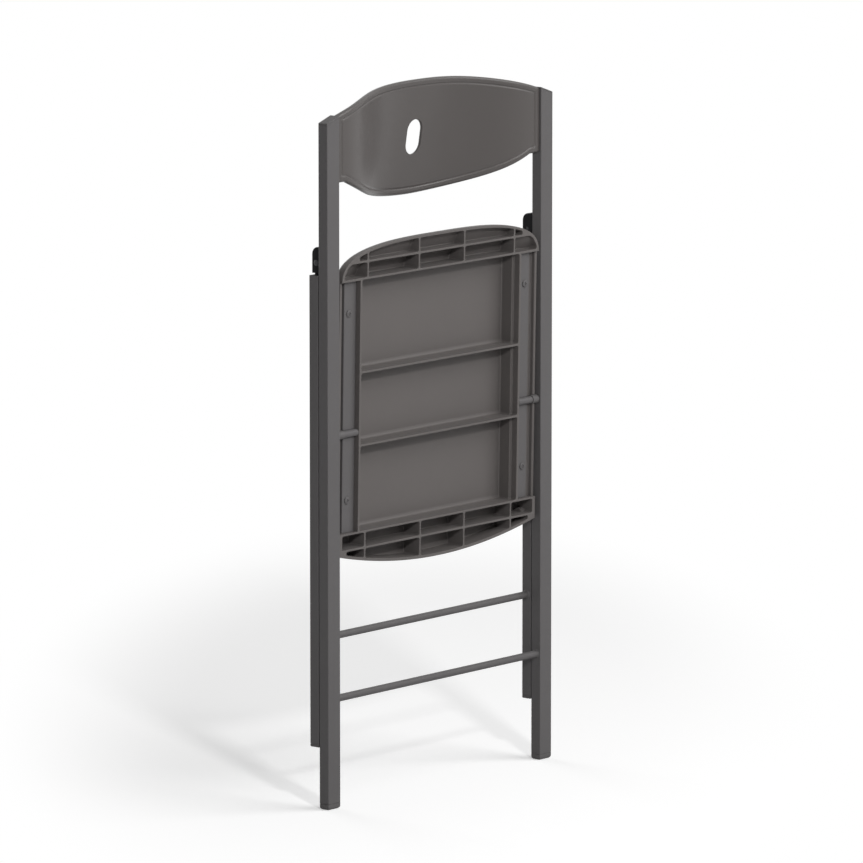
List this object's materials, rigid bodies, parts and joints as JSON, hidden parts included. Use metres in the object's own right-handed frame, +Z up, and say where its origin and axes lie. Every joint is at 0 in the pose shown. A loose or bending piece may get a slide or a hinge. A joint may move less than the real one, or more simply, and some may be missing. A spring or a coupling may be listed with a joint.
{
  "type": "folding dining chair",
  "caption": "Folding chair shown folded: flat tube uprights with a curved backrest, a ribbed moulded seat on side pivots, hinged rear legs and round cross rods.",
  "frame": {"origin": "on the floor, in the middle of the folded chair's box", "axes": "+Z up along the uprights, -Y towards the chair's front, +X to the right seen from the front"},
  "size_m": [0.475, 0.0708, 0.9683],
  "materials": {
    "powder_coat": "semi-matt powder coat",
    "moulded_grey": "fine moulded grain",
    "grey_plastic": "matt",
    "black_plastic": "matt",
    "black_steel": "blackened",
    "bare_steel": "zinc plated"
  },
  "bodies": {
    "frame": {"backrest": "moulded_grey", "front_rod": "powder_coat", "left_upright": "powder_coat", "left_top_cap": "grey_plastic", "left_foot": "grey_plastic", "left_lower_dowel": "bare_steel", "left_upper_dowel": "bare_steel", "left_pivot_bush": "grey_plastic", "left_hinge_bracket": "black_plastic", "left_inner_bracket_screw": "bare_steel", "left_outer_bracket_screw": "bare_steel", "left_hinge_pin": "black_steel", "right_upright": "powder_coat", "right_top_cap": "grey_plastic", "right_foot": "grey_plastic", "right_lower_dowel": "bare_steel", "right_upper_dowel": "bare_steel", "right_pivot_bush": "grey_plastic", "right_hinge_bracket": "black_plastic", "right_inner_bracket_screw": "bare_steel", "right_outer_bracket_screw": "bare_steel", "right_hinge_pin": "black_steel"},
    "rear_legs": {"rear_rod": "powder_coat", "left_rear_leg": "powder_coat", "left_hinge_knuckle": "black_plastic", "left_rear_foot": "grey_plastic", "right_rear_leg": "powder_coat", "right_hinge_knuckle": "black_plastic", "right_rear_foot": "grey_plastic"},
    "seat": {"seat_shell": "moulded_grey", "left_side_rail": "powder_coat", "left_front_rail_screw": "bare_steel", "left_rear_rail_screw": "bare_steel", "left_pivot_pin": "powder_coat", "left_guide_stud": "bare_steel", "right_side_rail": "powder_coat", "right_front_rail_screw": "bare_steel", "right_rear_rail_screw": "bare_steel", "right_pivot_pin": "powder_coat", "right_guide_stud": "bare_steel"}
  },
  "joints": [
    {"name": "seat_fold", "type": "hinge", "parent": "frame", "child": "seat", "pos_m": [0, -0.02581, 0.508], "axis": [1, 0, 0], "range_deg": [0, 114]},
    {"name": "rear_leg_fold", "type": "hinge", "parent": "frame", "child": "rear_legs", "pos_m": [0, -0.00896, 0.743], "axis": [1, 0, 0], "range_deg": [0, 38.4]}
  ],
  "couplings": [
    {"joint": "rear_leg_fold", "follows": "seat_fold", "ratio": 0.33484}
  ]
}
